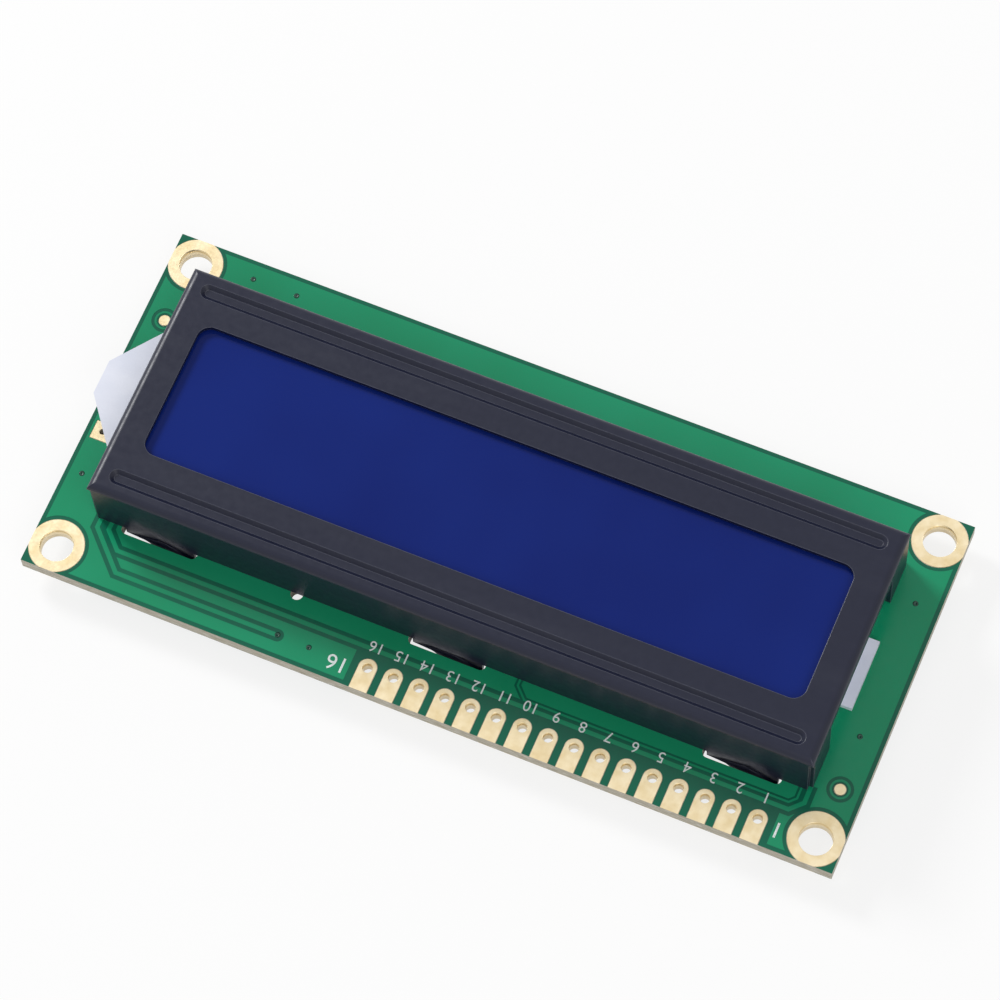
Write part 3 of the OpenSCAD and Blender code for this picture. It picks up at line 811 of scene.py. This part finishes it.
@dataclass
class CircuitBoard:
    """The board with its lacquer, plating and print.

    Attributes:
        label_height: Height of the small numbers above the pads.
        label_gap: Distance from the hole row to the middle of the numbers.
        end_height: Height of the large numbers at the ends of the row.
        ink_thickness: Thickness of the print.
        plating_thickness: Thickness of the lining in a hole.
        first_shift: From the first hole to the large number beside it.
        last_shift: From the last hole to the large number beside it.
        digit_share: Height of a digit as a share of the font's size.
        hole_steps: Faces round a hole's lining.
        via_steps: Faces round a lacquered via.
        via_dome_mm: Radius and height of each corner of a via's section.
        vias_mm: Centres of the lacquered vias from the board's middle.
    """

    label_height: float = 1.05 * MM
    label_gap: float = 2.15 * MM
    end_height: float = 1.5 * MM
    ink_thickness: float = 0.015 * MM
    plating_thickness: float = 0.02 * MM
    first_shift: tuple = (-1.95 * MM, 0.3 * MM)
    last_shift: tuple = (2.75 * MM, 0.6 * MM)
    digit_share: float = 0.7
    hole_steps: int = 40
    via_steps: int = 20
    via_dome_mm: tuple = ((0.02, 0), (0.27, 0), (0.2, 0.012), (0.02, 0.014))
    vias_mm: tuple = (
        (31.8, -16.15), (27.3, -16.1), (-37.64, -8.9), (-37.62, 5.0),
        (38.4, 8.05), (11.85, 15.9), (15.0, 15.85),
    )

    def dress(self) -> None:
        """Gives the board's CAD nodes their finishes."""
        dress("circuit_board", Finish.LAMINATE)
        dress("front_solder_mask", Finish.FRONT_MASK)
        dress("back_solder_mask", Finish.BACK_MASK)
        plated = ("header_pads", "mounting_hole_lands", "fiducial_marks", "backlight_pads")
        contacts = ("backlight_pin_lands", "zebra_contacts", "component_pads", "jumper_pads")
        for node in (*plated, *contacts):
            dress(node, Finish.GOLD)
        dress("back_legend", Finish.INK)

    def number(self, text: str, height: float, at: Vector) -> bpy.types.Mesh:
        """Makes one printed number, centred on a point of the front face.

        Args:
            text: The digits.
            height: Height of a digit.
            at: Where the middle of the number lies.

        Returns:
            The number's mesh, in the module's frame.
        """
        curve = bpy.data.curves.new("number", type="FONT")
        curve.body = text
        curve.size = height / self.digit_share
        curve.align_x = "CENTER"
        curve.align_y = "CENTER"
        curve.extrude = self.ink_thickness / 2
        curve.resolution_u = 4
        holder = bpy.data.objects.new("number", curve)
        bpy.context.scene.collection.objects.link(holder)
        bpy.context.view_layer.update()
        mesh = bpy.data.meshes.new_from_object(holder)
        bpy.data.objects.remove(holder)
        for vertex in mesh.vertices:
            vertex.co += at
        return mesh

    def print_numbers(self) -> None:
        """Prints the hole numbers, small over each pad and large at both ends."""
        row = PinRow()
        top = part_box("front_solder_mask")[1].z + self.ink_thickness / 2
        centres = row.centres()
        labels = []
        for index, centre in enumerate(centres):
            at = Vector((centre.x, centre.y - self.label_gap, top))
            labels.append(self.number(str(index + 1), self.label_height, at))
        ends = ((1, centres[0], self.first_shift), (row.count, centres[-1], self.last_shift))
        for value, hole, (right, ahead) in ends:
            at = Vector((hole.x + right, hole.y + ahead, top))
            labels.append(self.number(str(value), self.end_height, at))
        build = bmesh.new()
        for mesh in labels:
            build.from_mesh(mesh)
            bpy.data.meshes.remove(mesh)
        add_piece("pin_numbers", mesh_from(build, "pin_numbers", False), Finish.INK)

    def line_holes(self) -> None:
        """Lines the plated holes with gold."""
        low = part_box("header_pads")[0].z
        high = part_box("header_pads")[1].z
        row = PinRow()
        holes = [(centre, row.radius()) for centre in row.centres()]
        pattern = mount("mounting_holes")
        for side in (-1, 1):
            for end in (-1, 1):
                x = end * pattern["dims"]["spacing_x_mm"] * MM / 2
                y = side * pattern["dims"]["spacing_y_mm"] * MM / 2
                holes.append((Vector((x, y, 0)), pattern["dims"]["hole_r_mm"] * MM))
        build = bmesh.new()
        for centre, radius in holes:
            inner = radius - self.plating_thickness
            lining = [(radius, low), (radius, high), (inner, high), (inner, low)]
            revolve(build, Vector((centre.x, centre.y, 0)), lining, self.hole_steps)
        add_piece("hole_linings", mesh_from(build, "hole_linings"), Finish.GOLD)

    def tent_vias(self) -> None:
        """Sets the small lacquered vias on the front face, as low dark domes."""
        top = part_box("front_solder_mask")[1].z
        dome = [(radius * MM, height * MM) for radius, height in self.via_dome_mm]
        build = bmesh.new()
        for x, y in self.vias_mm:
            revolve(build, Vector((x * MM, y * MM, top)), dome, self.via_steps)
        add_piece("tented_vias", mesh_from(build, "tented_vias"), Finish.TENTED_VIA)


@dataclass
class Bezel:
    """The folded sheet over the display."""

    def dress(self) -> None:
        """Paints the sheet."""
        dress("bezel", Finish.PAINT)


@dataclass
class DisplayCell:
    """The two glass plates and their films."""

    def dress(self) -> None:
        """Gives the cell's layers their finishes."""
        dress("front_polariser", Finish.BLUE)
        dress("cell_fill", Finish.BLUE)
        dress("front_glass", Finish.GLASS)
        dress("rear_glass", Finish.GLASS)
        dress("cell_seal", Finish.GLUE)
        dress("fill_port_plug", Finish.GLUE)
        dress("rear_polariser", Finish.GREY_FILM)


@dataclass
class Backlight:
    """The frame, the light guide and its films, the strips and the lamp."""

    def dress(self) -> None:
        """Gives the backlight's pieces their finishes."""
        for node in ("backlight_frame", "diffuser_film", "reflector_film", "tail_film"):
            dress(node, Finish.WHITE_FILM)
        dress("light_guide", Finish.CLEAR)
        dress("header_side_zebra", Finish.RUBBER)
        dress("far_side_zebra", Finish.RUBBER)
        dress("led_package", Finish.HOUSING)
        dress("led_leads", Finish.TIN)
        dress("led_solder", Finish.TIN)


@dataclass
class RearParts:
    """The resin caps with their dies, and the chip resistors.

    Attributes:
        resistors: Number of chip resistors.
    """

    resistors: int = 8

    def dress(self) -> None:
        """Gives the rear parts their finishes."""
        for node in ("driver_cap", "controller_cap"):
            dress(node, Finish.RESIN)
        for node in ("driver_die", "controller_die"):
            dress(node, Finish.SILICON)
        for index in range(1, self.resistors + 1):
            dress(f"resistor_{index}_body", Finish.BLACK_CERAMIC)
            dress(f"resistor_{index}_ends", Finish.TIN)
        dress("resistor_solder", Finish.TIN)


# ------------------------------------------------------------------- studio


@dataclass(frozen=True)
class Lamp:
    """A square soft lamp that points at the module.

    Attributes:
        name: The lamp's name.
        place: Where it hangs.
        size: Side of its square.
        power: Its power in watts.
    """

    name: str
    place: tuple[float, float, float]
    size: float
    power: float

    def hang(self, target: Vector) -> None:
        """Adds the lamp to the scene.

        Args:
            target: The point that it looks at.
        """
        at = Vector(self.place)
        data = bpy.data.lights.new(self.name, "AREA")
        data.size = self.size
        data.energy = self.power
        lamp = bpy.data.objects.new(self.name, data)
        bpy.context.scene.collection.objects.link(lamp)
        lamp.location = at
        lamp.rotation_mode = "QUATERNION"
        lamp.rotation_quaternion = (at - target).to_track_quat("Z", "Y")


@dataclass
class Studio:
    """Floor, lamps, background and camera.

    Attributes:
        lens_mm: Focal length of the camera.
        sensor_mm: Width of its sensor.
        clip: Nearest and farthest distance that it sees.
        target: The point that the middle of the frame looks at.
        distance: Distance from the target to the camera.
        back: Direction from the target to the camera.
        up: The camera's upward direction.
        floor_size: Size of the floor's grid.
        floor_gap: Distance from the lowest point down to the floor.
        floor_glow: How much of the floor's look is its own light.
        world_light: Strength of the background as a light.
        lamps: The lamps.
    """

    lens_mm: float = 162.8
    sensor_mm: float = 36
    clip: tuple = (0.01, 10)
    target: Vector = Vector((1.72, -4.69, 0)) * MM
    distance: float = 418.6 * MM
    back: Vector = Vector((-0.18197, 0.34714, 0.91999))
    up: Vector = Vector((0.34663, -0.8529, 0.39039))
    floor_size: float = 1.5
    floor_gap: float = 0.05 * MM
    floor_glow: float = 0.8
    world_light: float = 0.45
    lamps: tuple = (
        Lamp("key", (0.72, -0.34, 0.55), 0.25, 6.5),
        Lamp("fill", (-0.5, 0.5, 0.7), 0.6, 2.5),
    )

    def add_camera(self) -> None:
        """Creates the camera and makes it the scene's."""
        data = bpy.data.cameras.new("camera")
        data.lens = self.lens_mm
        data.sensor_width = self.sensor_mm
        data.clip_start, data.clip_end = self.clip
        camera = bpy.data.objects.new("camera", data)
        bpy.context.scene.collection.objects.link(camera)
        back = self.back.normalized()
        right = self.up.cross(back).normalized()
        up = back.cross(right)
        camera.matrix_world = self.axes_matrix(right, up, back, self.target + back * self.distance)
        bpy.context.scene.camera = camera

    @staticmethod
    def axes_matrix(right: Vector, up: Vector, back: Vector, at: Vector) -> Matrix:
        """Builds a placement from three axes and a point.

        Args:
            right: The direction of X.
            up: The direction of Y.
            back: The direction of Z.
            at: Where the origin goes.

        Returns:
            The placement.
        """
        rows = [(right[i], up[i], back[i], at[i]) for i in range(3)]
        return Matrix((*rows, (0, 0, 0, 1)))

    def add_floor(self) -> None:
        """Lays a pale floor under the lowest point, which keeps the shadow."""
        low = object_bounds()[0].z
        build = bmesh.new()
        bmesh.ops.create_grid(build, x_segments=1, y_segments=1, size=self.floor_size)
        for vertex in build.verts:
            vertex.co.z = low - self.floor_gap
        mesh = bpy.data.meshes.new("floor")
        build.to_mesh(mesh)
        build.free()
        floor = bpy.data.objects.new("floor", mesh)
        bpy.context.scene.collection.objects.link(floor)
        mesh.materials.append(self.floor_material())
        floor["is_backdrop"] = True

    def floor_material(self) -> bpy.types.Material:
        """Makes the pale matt floor, white to the camera and in reflections.

        Returns:
            The floor's material.
        """
        s = Shader("floor")
        s.constants(Base_Color=(0.9, 0.9, 0.9, 1), Roughness=0.9, Specular_IOR_Level=0.1)
        glow = s.node("ShaderNodeEmission")
        path = s.node("ShaderNodeLightPath")
        seen = s.maths("MAXIMUM", path.outputs["Is Camera Ray"], path.outputs["Is Glossy Ray"])
        seen = s.maths("MAXIMUM", seen, path.outputs["Is Transmission Ray"])
        mix = s.node("ShaderNodeMixShader")
        s.link(s.maths("MULTIPLY", seen, self.floor_glow), mix.inputs["Fac"])
        s.link(s.principled.outputs[0], mix.inputs[1])
        s.link(glow.outputs[0], mix.inputs[2])
        s.link(mix.outputs[0], s.tree.nodes["Material Output"].inputs["Surface"])
        return s.material

    def add_world(self) -> None:
        """Makes the background white to the eye and soft grey as a light."""
        world = bpy.data.worlds.new("studio")
        bpy.context.scene.world = world
        world.use_nodes = True
        tree = world.node_tree
        background = tree.nodes["Background"]
        background.inputs["Color"].default_value = (1, 1, 1, 1)
        path = tree.nodes.new("ShaderNodeLightPath")
        seen = tree.nodes.new("ShaderNodeMath")
        seen.operation = "MAXIMUM"
        tree.links.new(path.outputs["Is Camera Ray"], seen.inputs[0])
        tree.links.new(path.outputs["Is Glossy Ray"], seen.inputs[1])
        through = tree.nodes.new("ShaderNodeMath")
        through.operation = "MAXIMUM"
        tree.links.new(seen.outputs[0], through.inputs[0])
        tree.links.new(path.outputs["Is Transmission Ray"], through.inputs[1])
        strength = tree.nodes.new("ShaderNodeMapRange")
        strength.inputs["To Min"].default_value = self.world_light
        strength.inputs["To Max"].default_value = 1.0
        tree.links.new(through.outputs[0], strength.inputs["Value"])
        tree.links.new(strength.outputs[0], background.inputs["Strength"])

    def build(self) -> None:
        """Sets up the whole studio."""
        bpy.context.scene.view_settings.view_transform = "Standard"
        self.add_camera()
        self.add_floor()
        self.add_world()
        for lamp in self.lamps:
            lamp.hang(self.target)


def main() -> None:
    """Dresses the sub-assemblies in order and sets up the studio."""
    logging.basicConfig(level=logging.INFO, format="%(message)s")
    board = CircuitBoard()
    board.dress()
    board.print_numbers()
    board.line_holes()
    board.tent_vias()
    for assembly in (Bezel(), DisplayCell(), Backlight(), RearParts()):
        assembly.dress()
    Studio().build()


if __name__ == "__main__":
    main()
